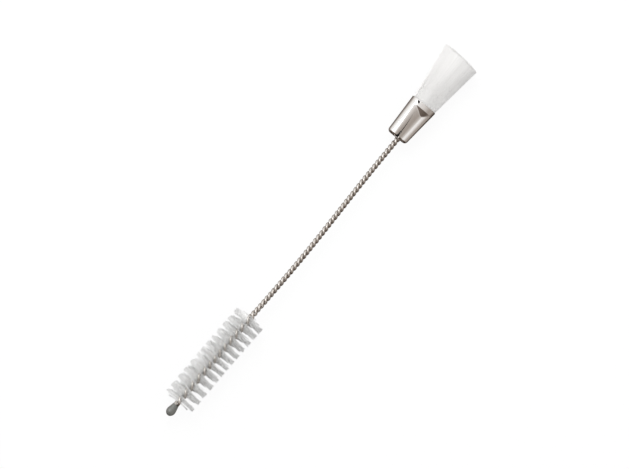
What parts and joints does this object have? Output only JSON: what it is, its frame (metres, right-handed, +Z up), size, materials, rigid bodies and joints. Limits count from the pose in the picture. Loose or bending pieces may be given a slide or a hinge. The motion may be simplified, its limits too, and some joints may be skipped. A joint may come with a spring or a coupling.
{
  "type": "bottle brush",
  "caption": "Double-ended bottle brush: twisted wire stem with a bristle spiral and a dipped bead at one end, and a flared bristle tuft in a pinched metal ferrule at the other.",
  "frame": {"origin": "bottom centre of the brush's box, on the surface that it lies on", "axes": "+X along the stem from the bead to the tuft, +Z up from the surface, with the bow of the stem towards -Y"},
  "size_m": [0.2302, 0.0206, 0.0165],
  "materials": {
    "wire_steel": "bright drawn wire",
    "spiral_nylon": "translucent white filaments",
    "bead_plastic": "satin dip",
    "ferrule_nickel": "polished nickel plate",
    "tuft_nylon": "white filaments"
  },
  "bodies": {
    "root": {"stem_wire": "wire_steel", "spiral_bristles": "spiral_nylon", "tip_bead": "bead_plastic", "ferrule": "ferrule_nickel", "tuft": "tuft_nylon"}
  },
  "joints": []
}
